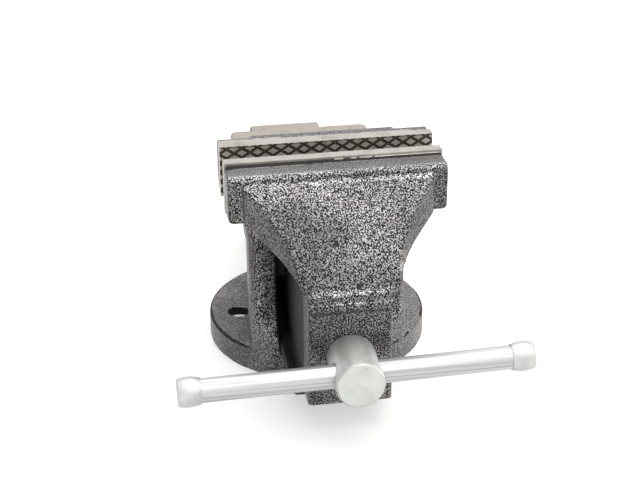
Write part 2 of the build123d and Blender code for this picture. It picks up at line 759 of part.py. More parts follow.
# ---- Write each piece ----
pieces = {
    "fixed_body": fixed_body.part,
    "moving_jaw": moving_jaw.part,
    "fixed_jaw_plate": fixed_jaw_plate,
    "moving_jaw_plate": moving_jaw_plate,
    "fixed_jaw_screws": fixed_jaw_screws,
    "moving_jaw_screws": moving_jaw_screws,
    "spindle": at_rest(spindle.part),
    "handle_bar": at_rest(handle_bar.part),
    "handle_cap_left": at_rest(handle_cap_left),
    "handle_cap_right": at_rest(handle_cap_right),
    "spindle_nut": spindle_nut.part,
    "nut_bolt": nut_bolt.part,
    "nut_washer": nut_washer.part,
    "front_spring_washer": front_spring_washer,
    "takeup_spring": takeup_spring.part,
    "rear_spring_washer": rear_spring_washer,
    "retaining_pin": at_rest(retaining_pin.part),
}
os.makedirs("parts", exist_ok=True)
for name, piece in pieces.items():
    piece.label = name
    export_step(piece, f"parts/{name}.step")
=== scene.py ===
import math

import bpy
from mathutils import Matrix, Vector, noise


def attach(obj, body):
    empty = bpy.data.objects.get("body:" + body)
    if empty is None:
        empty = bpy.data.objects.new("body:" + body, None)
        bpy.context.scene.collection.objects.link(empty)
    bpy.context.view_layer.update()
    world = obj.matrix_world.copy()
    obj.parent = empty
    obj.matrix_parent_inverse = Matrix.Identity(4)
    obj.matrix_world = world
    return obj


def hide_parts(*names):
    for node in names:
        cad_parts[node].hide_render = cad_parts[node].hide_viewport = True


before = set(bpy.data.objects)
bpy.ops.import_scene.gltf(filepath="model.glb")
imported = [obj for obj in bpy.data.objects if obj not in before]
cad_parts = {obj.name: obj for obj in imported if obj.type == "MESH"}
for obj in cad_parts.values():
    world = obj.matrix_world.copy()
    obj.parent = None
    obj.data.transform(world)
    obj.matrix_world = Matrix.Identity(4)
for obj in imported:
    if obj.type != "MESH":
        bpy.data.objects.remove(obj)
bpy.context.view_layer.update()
print("frame loaded:", len(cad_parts), "nodes")


def toLinear(hexColour):
    # an sRGB colour such as #c8c3bb, as the linear numbers that a shader takes
    parts = [int(hexColour[i:i + 2], 16) / 255 for i in (1, 3, 5)]
    return [p / 12.92 if p <= 0.04045 else ((p + 0.055) / 1.055) ** 2.4 for p in parts] + [1.0]


def addNode(material, kind, settings, inputs):
    # one node with its settings, and a value or a link for each named input
    tree = material.node_tree
    node = tree.nodes.new(kind)
    for name, value in settings.items():
        setattr(node, name, value)
    for name, value in inputs.items():
        if isinstance(value, bpy.types.NodeSocket):
            tree.links.new(value, node.inputs[name])
        else:
            node.inputs[name].default_value = value
    return node


def newMaterial(name):
    material = bpy.data.materials.new(name)
    material.use_nodes = True
    material.node_tree.nodes.clear()
    return material


def finishMaterial(material, shader):
    addNode(material, "ShaderNodeOutputMaterial", {}, {"Surface": shader.outputs[0]})
    return material


def pick(piece):
    if bpy.context.object and bpy.context.object.mode != "OBJECT":
        bpy.ops.object.mode_set(mode="OBJECT")
    bpy.ops.object.select_all(action="DESELECT")
    piece.select_set(True)
    bpy.context.view_layer.objects.active = piece


def editMesh(selectMode="FACE"):
    bpy.ops.object.mode_set(mode="EDIT")
    bpy.ops.mesh.select_mode(type=selectMode)
    bpy.ops.mesh.select_all(action="DESELECT")


def leaveEdit():
    bpy.ops.object.mode_set(mode="OBJECT")


def copyNode(nodeName, pieceName):
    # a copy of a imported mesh, with its loose triangles merged into one skin
    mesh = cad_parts[nodeName].data.copy()
    mesh.name = pieceName
    piece = bpy.data.objects.new(pieceName, mesh)
    bpy.context.scene.collection.objects.link(piece)
    pick(piece)
    if mesh.has_custom_normals:
        bpy.ops.mesh.customdata_custom_splitnormals_clear()
    editMesh("VERT")
    bpy.ops.mesh.select_all(action="SELECT")
    bpy.ops.mesh.remove_doubles(threshold=0.000002)
    bpy.ops.mesh.select_all(action="DESELECT")
    leaveEdit()
    mesh.materials.clear()
    return piece


def applyModifier(piece, kind, settings):
    pick(piece)
    modifier = piece.modifiers.new(kind.lower(), kind)
    for name, value in settings.items():
        setattr(modifier, name, value)
    bpy.ops.object.modifier_apply(modifier=modifier.name)


def handOver(piece, body, nodeName):
    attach(piece, body)
    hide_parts(nodeName)


# Hammertone enamel, sprayed on the raw casting: aluminium flake gathers into small wriggling
# worms with near-black rims between them. On faces that lay level or faced sideways to the spray
# gun the coat is thin, so the worms are finer there and fade into an even grey. Level faces get a
# little more flake as painted light, and upright front faces a little less as painted shade.
enamelFinish = {
    "rim": "#131112", "flake": "#a29f9e", "gather": (0.49, 0.58), "wormSize": 0.0006,
    "fineSize": 0.00055, "thinCoat": 0.25, "thinGrey": 0.66, "paintedLevelLight": 0.04, "paintedUprightShade": 0.01,
    "patchSize": 0.030, "dimple": 0.0001,
}
# A brighter copy of the enamel with denser flake, laid on a ledge, a ridge and a rounded
# corner as a painted highlight.
paintedHighlightFinish = {**enamelFinish, "flake": "#bcbab9", "gather": (0.47, 0.56)}


def hammertoneEnamel(name, finish):
    material = newMaterial(name)
    place = addNode(material, "ShaderNodeTexCoord", {}, {})
    facing = addNode(material, "ShaderNodeSeparateXYZ", {}, {0: place.outputs["Normal"]})
    aside = addNode(material, "ShaderNodeMath", {"operation": "ABSOLUTE"}, {0: facing.outputs["X"]})
    sideways = addNode(material, "ShaderNodeMapRange", {}, {
        "Value": aside.outputs[0], "From Min": 0.42, "From Max": 0.62})
    level = addNode(material, "ShaderNodeMapRange", {}, {
        "Value": facing.outputs["Z"], "From Min": 0.85, "From Max": 0.97})
    thin = addNode(material, "ShaderNodeMath", {"operation": "MAXIMUM"}, {
        0: sideways.outputs[0], 1: level.outputs[0]})
    worms = addNode(material, "ShaderNodeTexNoise", {}, {
        "Vector": place.outputs["Object"], "Scale": 1 / finish["wormSize"],
        "Detail": 0.4, "Roughness": 0.5, "Distortion": 0.6})
    fine = addNode(material, "ShaderNodeTexNoise", {}, {
        "Vector": place.outputs["Object"], "Scale": 1 / finish["fineSize"],
        "Detail": 0.4, "Roughness": 0.5, "Distortion": 0.6})
    cells = addNode(material, "ShaderNodeMix", {"data_type": "FLOAT"}, {
        0: thin.outputs[0], 2: worms.outputs["Fac"], 3: fine.outputs["Fac"]})
    # painted light: level faces get a little more flake, so they read lighter
    paintedLevelLight = addNode(material, "ShaderNodeMath", {"operation": "MULTIPLY_ADD"}, {
        0: level.outputs[0], 1: finish["paintedLevelLight"], 2: cells.outputs[0]})
    upright = addNode(material, "ShaderNodeMapRange", {}, {
        "Value": facing.outputs["Y"], "From Min": -0.85, "From Max": -0.97})
    # painted shade: upright front faces get a little less flake, so they read darker
    paintedUprightShade = addNode(material, "ShaderNodeMath", {"operation": "MULTIPLY_ADD"}, {
        0: upright.outputs[0], 1: -finish["paintedUprightShade"], 2: paintedLevelLight.outputs[0]})
    gathered = addNode(material, "ShaderNodeMapRange", {"interpolation_type": "SMOOTHSTEP"}, {
        "Value": paintedUprightShade.outputs[0], "From Min": finish["gather"][0],
        "From Max": finish["gather"][1]})
    spread = addNode(material, "ShaderNodeMath", {"operation": "MULTIPLY"}, {
        0: thin.outputs[0], 1: finish["thinCoat"]})
    evened = addNode(material, "ShaderNodeMix", {"data_type": "FLOAT"}, {
        0: spread.outputs[0], 2: gathered.outputs[0], 3: finish["thinGrey"]})
    patches = addNode(material, "ShaderNodeTexNoise", {}, {
        "Vector": place.outputs["Object"], "Scale": 1 / finish["patchSize"], "Detail": 2.0})
    patchy = addNode(material, "ShaderNodeMapRange", {}, {
        "Value": patches.outputs["Fac"], "From Min": 0.35, "From Max": 0.62, "To Min": 0.62, "To Max": 1.0})
    amount = addNode(material, "ShaderNodeMath", {"operation": "MULTIPLY"}, {
        0: evened.outputs[0], 1: patchy.outputs[0]})
    speckle = addNode(material, "ShaderNodeMix", {"data_type": "RGBA"}, {
        0: amount.outputs[0], 6: toLinear(finish["rim"]), 7: toLinear(finish["flake"])})
    metal = addNode(material, "ShaderNodeMapRange", {}, {
        "Value": amount.outputs[0], "To Min": 0.0, "To Max": 0.9})
    rough = addNode(material, "ShaderNodeMapRange", {}, {
        "Value": amount.outputs[0], "To Min": 0.45, "To Max": 0.34})
    dimples = addNode(material, "ShaderNodeBump", {}, {
        "Strength": 0.5, "Distance": finish["dimple"], "Height": worms.outputs["Fac"]})
    shader = addNode(material, "ShaderNodeBsdfPrincipled", {}, {
        "Base Color": speckle.outputs[2], "Metallic": metal.outputs[0], "Roughness": rough.outputs[0],
        "Normal": dimples.outputs[0], "Specular IOR Level": 0.2})
    return finishMaterial(material, shader)


# Grey cast iron, milled flat and left bare: dull warm grey with fine cutter lines, darker where
# graphite and handling have stained it.
milledFinish = {"metal": "#aca49b", "stain": "#7d746b", "lineSize": 0.0007, "stainSize": 0.006}


def milledIron():
    material = newMaterial("milledIron")
    place = addNode(material, "ShaderNodeTexCoord", {}, {})
    alongX = addNode(material, "ShaderNodeMapping", {}, {
        "Vector": place.outputs["Object"], "Scale": (0.06, 1.0, 1.0)})
    lines = addNode(material, "ShaderNodeTexNoise", {}, {
        "Vector": alongX.outputs[0], "Scale": 1 / milledFinish["lineSize"], "Detail": 2.0})
    stains = addNode(material, "ShaderNodeTexNoise", {}, {
        "Vector": place.outputs["Object"], "Scale": 1 / milledFinish["stainSize"], "Detail": 4.0,
        "Roughness": 0.65})
    stained = addNode(material, "ShaderNodeMapRange", {}, {
        "Value": stains.outputs["Fac"], "From Min": 0.5, "From Max": 0.75, "To Max": 0.6})
    colour = addNode(material, "ShaderNodeMix", {"data_type": "RGBA"}, {
        0: stained.outputs[0], 6: toLinear(milledFinish["metal"]), 7: toLinear(milledFinish["stain"])})
    rough = addNode(material, "ShaderNodeMapRange", {}, {
        "Value": lines.outputs["Fac"], "To Min": 0.34, "To Max": 0.56})
    grooves = addNode(material, "ShaderNodeBump", {}, {
        "Strength": 0.35, "Distance": 0.00004, "Height": lines.outputs["Fac"]})
    shader = addNode(material, "ShaderNodeBsdfPrincipled", {}, {
        "Base Color": colour.outputs[2], "Metallic": 0.9, "Roughness": rough.outputs[0],
        "Normal": grooves.outputs[0]})
    return finishMaterial(material, shader)


# Hardened tool steel, surface ground: smooth warm light grey with hairline grinding marks along
# the jaw, a little tarnish and a few rust freckles.
groundFinish = {"metal": "#b7b2aa", "tarnish": "#99938a", "rust": "#a3744a", "markSize": 0.0005,
                "tarnishSize": 0.009, "rustSize": 0.003, "rustSpot": (0.0006, -0.037, 0.1172),
                "rustReach": 0.006}


def groundSteel():
    material = newMaterial("groundSteel")
    place = addNode(material, "ShaderNodeTexCoord", {}, {})
    alongX = addNode(material, "ShaderNodeMapping", {}, {
        "Vector": place.outputs["Object"], "Scale": (0.04, 1.0, 1.0)})
    marks = addNode(material, "ShaderNodeTexNoise", {}, {
        "Vector": alongX.outputs[0], "Scale": 1 / groundFinish["markSize"], "Detail": 2.0})
    clouds = addNode(material, "ShaderNodeTexNoise", {}, {
        "Vector": place.outputs["Object"], "Scale": 1 / groundFinish["tarnishSize"], "Detail": 4.0})
    tarnished = addNode(material, "ShaderNodeMapRange", {}, {
        "Value": clouds.outputs["Fac"], "From Min": 0.45, "From Max": 0.75})
    metal = addNode(material, "ShaderNodeMix", {"data_type": "RGBA"}, {
        0: tarnished.outputs[0], 6: toLinear(groundFinish["metal"]), 7: toLinear(groundFinish["tarnish"])})
    freckles = addNode(material, "ShaderNodeTexNoise", {}, {
        "Vector": place.outputs["Object"], "Scale": 1 / groundFinish["rustSize"], "Detail": 6.0,
        "Roughness": 0.7})
    away = addNode(material, "ShaderNodeVectorMath", {"operation": "DISTANCE"}, {
        0: place.outputs["Object"], 1: groundFinish["rustSpot"]})
    near = addNode(material, "ShaderNodeMapRange", {}, {
        "Value": away.outputs["Value"], "From Min": 0.0, "From Max": groundFinish["rustReach"],
        "To Min": 0.22, "To Max": 0.0})
    rusting = addNode(material, "ShaderNodeMath", {"operation": "ADD"}, {
        0: freckles.outputs["Fac"], 1: near.outputs[0]})
    rusted = addNode(material, "ShaderNodeMapRange", {}, {
        "Value": rusting.outputs[0], "From Min": 0.67, "From Max": 0.75})
    colour = addNode(material, "ShaderNodeMix", {"data_type": "RGBA"}, {
        0: rusted.outputs[0], 6: metal.outputs[2], 7: toLinear(groundFinish["rust"])})
    rough = addNode(material, "ShaderNodeMapRange", {}, {
        "Value": marks.outputs["Fac"], "To Min": 0.22, "To Max": 0.4})
    hairlines = addNode(material, "ShaderNodeBump", {}, {
        "Strength": 0.2, "Distance": 0.00002, "Height": marks.outputs["Fac"]})
    shader = addNode(material, "ShaderNodeBsdfPrincipled", {}, {
        "Base Color": colour.outputs[2], "Metallic": 0.2, "Roughness": rough.outputs[0],
        "Normal": hairlines.outputs[0]})
    return finishMaterial(material, shader)


# The bottoms of the cut grooves, never ground: brown-black oxide and swarf packed in oil.
grooveFinish = {"oxide": "#2f2823", "swarf": "#5d5047", "grainSize": 0.0008}


def grooveOxide():
    material = newMaterial("grooveOxide")
    place = addNode(material, "ShaderNodeTexCoord", {}, {})
    grains = addNode(material, "ShaderNodeTexNoise", {}, {
        "Vector": place.outputs["Object"], "Scale": 1 / grooveFinish["grainSize"], "Detail": 3.0})
    packed = addNode(material, "ShaderNodeMapRange", {}, {
        "Value": grains.outputs["Fac"], "From Min": 0.4, "From Max": 0.7})
    colour = addNode(material, "ShaderNodeMix", {"data_type": "RGBA"}, {
        0: packed.outputs[0], 6: toLinear(grooveFinish["oxide"]), 7: toLinear(grooveFinish["swarf"])})
    crumbs = addNode(material, "ShaderNodeBump", {}, {
        "Strength": 0.5, "Distance": 0.0001, "Height": grains.outputs["Fac"]})
    shader = addNode(material, "ShaderNodeBsdfPrincipled", {}, {
        "Base Color": colour.outputs[2], "Metallic": 0.2, "Roughness": 0.75, "Normal": crumbs.outputs[0]})
    return finishMaterial(material, shader)


# Turned steel, bright zinc plated: pale grey with a faint green cast in clouds, and small dark
# pits where the plating is thin.
zincFinish = {"bright": "#d0d0ce", "cloud": "#999e96", "pit": "#4a4c48", "cloudSize": 0.010,
              "pitSize": 0.0016}
# The head's end was faced clean before plating, so it clouds less.
facedFinish = {**zincFinish, "bright": "#cbccc9", "cloud": "#bcbeb9"}
# The handle's caps are turned smooth and plated: an even pale grey with soft clouds.
capFinish = {**zincFinish, "bright": "#c6c6c5", "cloud": "#afb0ae", "cloudSize": 0.008}
# The head's rounded edge in a duller grey: painted shade that tones down its bright reflection.
edgeShadeFinish = {**zincFinish, "bright": "#bbbcb9", "cloud": "#a2a5a0"}


def turnedZinc(name, finish):
    material = newMaterial(name)
    place = addNode(material, "ShaderNodeTexCoord", {}, {})
    alongY = addNode(material, "ShaderNodeMapping", {}, {
        "Vector": place.outputs["Object"], "Scale": (1.0, 0.45, 1.0)})
    clouds = addNode(material, "ShaderNodeTexNoise", {}, {
        "Vector": alongY.outputs[0], "Scale": 1 / finish["cloudSize"], "Detail": 5.0,
        "Roughness": 0.6})
    cloudy = addNode(material, "ShaderNodeMapRange", {}, {
        "Value": clouds.outputs["Fac"], "From Min": 0.35, "From Max": 0.68})
    plated = addNode(material, "ShaderNodeMix", {"data_type": "RGBA"}, {
        0: cloudy.outputs[0], 6: toLinear(finish["bright"]), 7: toLinear(finish["cloud"])})
    pits = addNode(material, "ShaderNodeTexNoise", {}, {
        "Vector": place.outputs["Object"], "Scale": 1 / finish["pitSize"], "Detail": 2.0})
    pitted = addNode(material, "ShaderNodeMapRange", {}, {
        "Value": pits.outputs["Fac"], "From Min": 0.70, "From Max": 0.78})
    colour = addNode(material, "ShaderNodeMix", {"data_type": "RGBA"}, {
        0: pitted.outputs[0], 6: plated.outputs[2], 7: toLinear(finish["pit"])})
    rough = addNode(material, "ShaderNodeMapRange", {}, {
        "Value": clouds.outputs["Fac"], "To Min": 0.48, "To Max": 0.64})
    dents = addNode(material, "ShaderNodeBump", {"invert": True}, {
        "Strength": 0.4, "Distance": 0.00006, "Height": pits.outputs["Fac"]})
    shader = addNode(material, "ShaderNodeBsdfPrincipled", {}, {
        "Base Color": colour.outputs[2], "Metallic": 1.0, "Roughness": rough.outputs[0],
        "Normal": dents.outputs[0]})
    return finishMaterial(material, shader)


# Cold-drawn bar, bright zinc plated: the die leaves lengthwise lines, which break its shine into
# long white and grey bands.
drawnFinish = {"bright": "#c0c0bf", "band": "#a3a3a2", "bandSize": 0.0015}


def drawnZinc():
    material = newMaterial("drawnZinc")
    place = addNode(material, "ShaderNodeTexCoord", {}, {})
    alongX = addNode(material, "ShaderNodeMapping", {}, {
        "Vector": place.outputs["Object"], "Scale": (0.004, 1.0, 1.0)})
    bands = addNode(material, "ShaderNodeTexNoise", {}, {
        "Vector": alongX.outputs[0], "Scale": 1 / drawnFinish["bandSize"], "Detail": 3.0})
    banded = addNode(material, "ShaderNodeMapRange", {}, {
        "Value": bands.outputs["Fac"], "From Min": 0.47, "From Max": 0.62})
    colour = addNode(material, "ShaderNodeMix", {"data_type": "RGBA"}, {
        0: banded.outputs[0], 6: toLinear(drawnFinish["bright"]), 7: toLinear(drawnFinish["band"])})
    rough = addNode(material, "ShaderNodeMapRange", {}, {
        "Value": bands.outputs["Fac"], "To Min": 0.42, "To Max": 0.55})
    drawn = addNode(material, "ShaderNodeBump", {}, {
        "Strength": 0.6, "Distance": 0.0002, "Height": bands.outputs["Fac"]})
    shader = addNode(material, "ShaderNodeBsdfPrincipled", {}, {
        "Base Color": colour.outputs[2], "Metallic": 1.0, "Roughness": rough.outputs[0],
        "Normal": drawn.outputs[0]})
    return finishMaterial(material, shader)


# Alloy steel screws, black oxide: satin near-black with the grey of the steel rubbed through.
oxideFinish = {"black": "#232325", "rubbedWearAndEdgeShade": "#5b5b5c", "rubSize": 0.0025}


def blackOxide():
    material = newMaterial("blackOxide")
    place = addNode(material, "ShaderNodeTexCoord", {}, {})
    rubs = addNode(material, "ShaderNodeTexNoise", {}, {
        "Vector": place.outputs["Object"], "Scale": 1 / oxideFinish["rubSize"], "Detail": 4.0})
    rubbedWearAndEdgeShade = addNode(material, "ShaderNodeMapRange", {}, {
        "Value": rubs.outputs["Fac"], "From Min": 0.52, "From Max": 0.8})
    colour = addNode(material, "ShaderNodeMix", {"data_type": "RGBA"}, {
        0: rubbedWearAndEdgeShade.outputs[0], 6: toLinear(oxideFinish["black"]), 7: toLinear(oxideFinish["rubbedWearAndEdgeShade"])})
    rough = addNode(material, "ShaderNodeMapRange", {}, {
        "Value": rubs.outputs["Fac"], "To Min": 0.3, "To Max": 0.5})
    shader = addNode(material, "ShaderNodeBsdfPrincipled", {}, {
        "Base Color": colour.outputs[2], "Metallic": 0.8, "Roughness": rough.outputs[0]})
    return finishMaterial(material, shader)


# Sand-cast iron left unpainted: dark grey, coarse sand grain, oily in the hollows. Kept near
# black, it also serves as painted shade in the channel, the bolt holes and the gap by the column.
rawIronAndShadeFinish = {"iron": "#2b2826", "scale": "#151312", "sandSize": 0.0011}


def rawIronAndPaintedShade():
    material = newMaterial("rawIronAndPaintedShade")
    place = addNode(material, "ShaderNodeTexCoord", {}, {})
    sand = addNode(material, "ShaderNodeTexNoise", {}, {
        "Vector": place.outputs["Object"], "Scale": 1 / rawIronAndShadeFinish["sandSize"], "Detail": 4.0})
    scaled = addNode(material, "ShaderNodeMapRange", {}, {
        "Value": sand.outputs["Fac"], "From Min": 0.35, "From Max": 0.65})
    colour = addNode(material, "ShaderNodeMix", {"data_type": "RGBA"}, {
        0: scaled.outputs[0], 6: toLinear(rawIronAndShadeFinish["iron"]), 7: toLinear(rawIronAndShadeFinish["scale"])})
    rough = addNode(material, "ShaderNodeMapRange", {}, {
        "Value": sand.outputs["Fac"], "To Min": 0.5, "To Max": 0.75})
    grain = addNode(material, "ShaderNodeBump", {}, {
        "Strength": 0.6, "Distance": 0.00015, "Height": sand.outputs["Fac"]})
    shader = addNode(material, "ShaderNodeBsdfPrincipled", {}, {
        "Base Color": colour.outputs[2], "Metallic": 0.3, "Roughness": rough.outputs[0],
        "Normal": grain.outputs[0], "Specular IOR Level": 0.3})
    return finishMaterial(material, shader)


# Hardened spring steel in a film of oil: blue-grey, streaked, with a sharp shine.
springFinish = {"steel": "#7d8084", "oiled": "#4f4d4a", "streakSize": 0.003}


def oiledSpringSteel():
    material = newMaterial("oiledSpringSteel")
    place = addNode(material, "ShaderNodeTexCoord", {}, {})
    streaks = addNode(material, "ShaderNodeTexNoise", {}, {
        "Vector": place.outputs["Object"], "Scale": 1 / springFinish["streakSize"], "Detail": 3.0})
    oily = addNode(material, "ShaderNodeMapRange", {}, {
        "Value": streaks.outputs["Fac"], "From Min": 0.4, "From Max": 0.7})
    colour = addNode(material, "ShaderNodeMix", {"data_type": "RGBA"}, {
        0: oily.outputs[0], 6: toLinear(springFinish["steel"]), 7: toLinear(springFinish["oiled"])})
    rough = addNode(material, "ShaderNodeMapRange", {}, {
        "Value": streaks.outputs["Fac"], "To Min": 0.18, "To Max": 0.4})
    shader = addNode(material, "ShaderNodeBsdfPrincipled", {}, {
        "Base Color": colour.outputs[2], "Metallic": 1.0, "Roughness": rough.outputs[0],
        "Coat Weight": 0.3, "Coat Roughness": 0.1})
    return finishMaterial(material, shader)


enamel = hammertoneEnamel("hammertoneEnamel", enamelFinish)
paintedHighlight = hammertoneEnamel("paintedHighlightHammertone", paintedHighlightFinish)
milled = milledIron()
ground = groundSteel()
grooves = grooveOxide()
zinc = turnedZinc("turnedZinc", zincFinish)
faced = turnedZinc("facedZinc", facedFinish)
capped = turnedZinc("capZinc", capFinish)
rubbedWearAndEdgeShade = turnedZinc("edgeShadeZinc", edgeShadeFinish)
drawn = drawnZinc()
black = blackOxide()
rawIronAndShade = rawIronAndPaintedShade()
spring = oiledSpringSteel()
print("materials made:", len(bpy.data.materials))


def castSkin(nodeName, pieceName, skin):
    # a foundry edge is never sharp: the skin is laid again in small cells and eased, but for
    # the rims of the drilled holes, which stay crisp
    piece = copyNode(nodeName, pieceName)
    applyModifier(piece, "REMESH", {"mode": "VOXEL", "voxel_size": skin["cell"]})
    group = piece.vertex_groups.new(name="eased")
    drilled = [Vector(hole) for hole in skin["drilled"]]
    group.add([v.index for v in piece.data.vertices
               if all((v.co.xy - hole).length > skin["drilledReach"] for hole in drilled)], 1.0, "REPLACE")
    applyModifier(piece, "SMOOTH", {"factor": 0.5, "iterations": skin["eased"], "vertex_group": "eased"})
    piece.vertex_groups.clear()
    piece.data.calc_loop_triangles()
    share = skin["triangles"] / len(piece.data.loop_triangles)
    if share < 1:
        applyModifier(piece, "DECIMATE", {"ratio": share})
    piece.data.materials.append(enamel)
    return piece


def cutFaces(piece, material, test):
    # gives the faces that pass the test another finish; places are in millimetres
    if material.name not in piece.data.materials:
        piece.data.materials.append(material)
    index = piece.data.materials.find(material.name)
    for face in piece.data.polygons:
        if test(face.center * 1000, face.normal):
            face.material_index = index


def between(value, limits):
    return limits[0] < value < limits[1]


castSize = {"cell": 0.00066, "eased": 2, "triangles": 190000, "smoothAngle": 40,
            "drilled": [(-0.04, 0.0), (0.04, 0.0)], "drilledReach": 0.0075}
# a face counts as level, or as a side, from this part of its normal on
turned = {"level": 0.6, "side": 0.6, "wall": 0.5}

# where the fixed casting's finish changes, in millimetres
fixedPlaces = {
    "foot": 0.4, "channelHalf": 25.5, "channelY": (-55.5, 46), "channelZ": (13.7, 69.6),
    "anvilZ": (87.2, 88.5), "anvilFront": -16, "rimZ": (11.4, 12.42), "rimRadius": 53.3,
    "rimFrontHalf": 23, "holeCentre": 40, "holeRadius": 5.4, "holeTop": 12.3,
    "columnHighlightX": (-34.5, -31.5), "columnHighlightZ": (36, 90), "columnHighlightFront": -37, "jawTop": 116.0, "jawRear": -25.4,
    "jawSkew": 60,
}
fixedCasting = castSkin("fixed_body", "fixedCasting", castSize)
cutFaces(fixedCasting, rawIronAndShade, lambda at, facing: at.z < fixedPlaces["foot"])
# the bare inside of the channel, in near-black raw iron as painted shade where no light reaches
cutFaces(fixedCasting, rawIronAndShade, lambda at, facing: abs(at.x) < fixedPlaces["channelHalf"]
         and between(at.y, fixedPlaces["channelY"]) and between(at.z, fixedPlaces["channelZ"]))
cutFaces(fixedCasting, milled, lambda at, facing: between(at.z, fixedPlaces["anvilZ"])
         and facing.z > turned["level"] and at.y > fixedPlaces["anvilFront"])
# a dark line along the rim's top edge, broken in places
cutFaces(fixedCasting, rawIronAndShade, lambda at, facing: between(at.z, fixedPlaces["rimZ"])
         and at.xy.length > fixedPlaces["rimRadius"] and abs(at.x) > fixedPlaces["rimFrontHalf"]
         and noise.noise(at / 9) > -0.2)
# the drilled walls of the bolt holes, bare iron in near-black raw iron as painted shade
cutFaces(fixedCasting, rawIronAndShade, lambda at, facing: at.z < fixedPlaces["holeTop"]
         and abs(facing.z) < turned["wall"]
         and math.hypot(abs(at.x) - fixedPlaces["holeCentre"], at.y) < fixedPlaces["holeRadius"])
# painted highlight: a streak of bright flake down one column's front corner
cutFaces(fixedCasting, paintedHighlight, lambda at, facing: between(at.z, fixedPlaces["columnHighlightZ"])
         and at.y < fixedPlaces["columnHighlightFront"] and between(at.x, fixedPlaces["columnHighlightX"])
         and noise.noise(at / 3) > -0.15)
# the top of the jaw, ground bare up to the painted rear edge
cutFaces(fixedCasting, ground, lambda at, facing: at.z > fixedPlaces["jawTop"]
         and facing.z > turned["level"]
         and at.y < fixedPlaces["jawRear"] - at.x / fixedPlaces["jawSkew"] + noise.noise(at / 5))
pick(fixedCasting)
bpy.ops.object.shade_smooth_by_angle(angle=math.radians(castSize["smoothAngle"]))
handOver(fixedCasting, "fixed", "fixed_body")
print("fixed casting:", len(fixedCasting.data.polygons), "faces")

# where the moving casting's finish changes, in millimetres
movingPlaces = {
    "beamZ": (68.3, 69.6), "beamFront": -40, "flankFront": -87, "flankTop": 68, "railFront": -84,
    "railTop": 20.5, "ledgeZ": (111.3, 112.3), "ledgeRear": -69.2, "ledgeHalf": 42,
    "ridgeZ": (69.5, 71), "ridgeRear": -99.5, "lipFoot": 115.75, "lipFront": -58.7,
    "lipTop": 116.9, "lipHighlightFront": -58,
}
movingCasting = castSkin("moving_jaw", "movingCasting", {**castSize, "drilled": []})
cutFaces(movingCasting, milled, lambda at, facing: between(at.z, movingPlaces["beamZ"])
         and facing.z > turned["level"] and at.y > movingPlaces["beamFront"])
# the sliding flanks and rails, bare and oily, in near-black raw iron that is also painted shade in the gap
# by the column
cutFaces(movingCasting, rawIronAndShade, lambda at, facing: at.z < movingPlaces["flankTop"]
         and abs(facing.x) > turned["side"]
         and at.y > movingPlaces["flankFront"] + 1.5 * noise.noise(at / 14))
cutFaces(movingCasting, rawIronAndShade, lambda at, facing: at.y > movingPlaces["railFront"]
         and at.z < movingPlaces["railTop"])
# painted highlight: bright rows of flake on the ledge over the slope and on the ridge
cutFaces(movingCasting, paintedHighlight, lambda at, facing: between(at.z, movingPlaces["ledgeZ"])
         and at.y < movingPlaces["ledgeRear"] and abs(at.x) < movingPlaces["ledgeHalf"]
         and noise.noise(at / 5) + at.x / 35 > 0)
cutFaces(movingCasting, paintedHighlight, lambda at, facing: between(at.z, movingPlaces["ridgeZ"])
         and at.y < movingPlaces["ridgeRear"] and noise.noise(at / 5) > 0)
# the lip along the plate: bare iron in near-black raw iron as painted shade, its top turning to bright
# ground steel towards +x as a painted highlight
cutFaces(movingCasting, rawIronAndShade, lambda at, facing: at.z > movingPlaces["lipFoot"]
         and at.y > movingPlaces["lipFront"] + 0.4 * noise.noise(at / 3))
cutFaces(movingCasting, ground, lambda at, facing: at.z > movingPlaces["lipTop"]
         and at.y > movingPlaces["lipHighlightFront"]
         and at.x / 40 + noise.noise(Vector((at.x / 4, 0, 0))) > 0.15)
pick(movingCasting)
bpy.ops.object.shade_smooth_by_angle(angle=math.radians(castSize["smoothAngle"]))
handOver(movingCasting, "jaw", "moving_jaw")
print("moving casting:", len(movingCasting.data.polygons), "faces")

# a face of a groove lies this deep behind the gripping face, within these limits of the plate
plateSize = {"grooveDepth": (0.0001, 0.0007), "halfWidth": 0.0498, "heights": (0.0937, 0.1177),
             "fixedGrip": -0.0370, "movingGrip": -0.0503}


def jawPlate(nodeName, pieceName, body, gripY):
    piece = copyNode(nodeName, pieceName)
    editMesh("FACE")
    bpy.ops.mesh.select_all(action="SELECT")
    bpy.ops.mesh.dissolve_limited(angle_limit=math.radians(1))
    bpy.ops.mesh.select_all(action="DESELECT")
    leaveEdit()
    piece.data.materials.append(ground)
    piece.data.materials.append(grooves)
    for face in piece.data.polygons:
        at = face.center
        if (abs(at.x) < plateSize["halfWidth"] and between(at.z, plateSize["heights"])
                and between(abs(at.y - gripY), plateSize["grooveDepth"])):
            face.material_index = 1
    handOver(piece, body, nodeName)
    return piece


fixedPlate = jawPlate("fixed_jaw_plate", "fixedPlate", "fixed", plateSize["fixedGrip"])
jawPlate("moving_jaw_plate", "movingPlate", "jaw", plateSize["movingGrip"])
print("jaw plates:", len(fixedPlate.data.polygons), "faces each")

# The spindle's head and journal are turned, and the rest is a right-hand trapezoidal thread. The
# last values, in millimetres and parts of a normal, tell the head's end and rounded edge apart.
spindleSize = {"axisZ": 0.0388, "threadFront": -0.0845, "threadRear": 0.100, "crest": 0.00875,
               "depth": 0.0019, "pitch": 0.004, "crestWidth": 0.00146, "flank": 0.0005,
               "headEnd": -0.084, "steps": 32, "weld": 0.000005, "smoothAngle": 35,
               "faceY": -125, "edgeY": -124, "faceOn": -0.97, "edgeOn": -0.2}


def cutAcross(y, clearOuter):
    # cuts all of the mesh in edit mode at y and closes the cut
    bpy.ops.mesh.select_all(action="SELECT")
    bpy.ops.mesh.bisect(plane_co=(0, y, 0), plane_no=(0, 1, 0), use_fill=True,
                        clear_outer=clearOuter, clear_inner=not clearOuter)


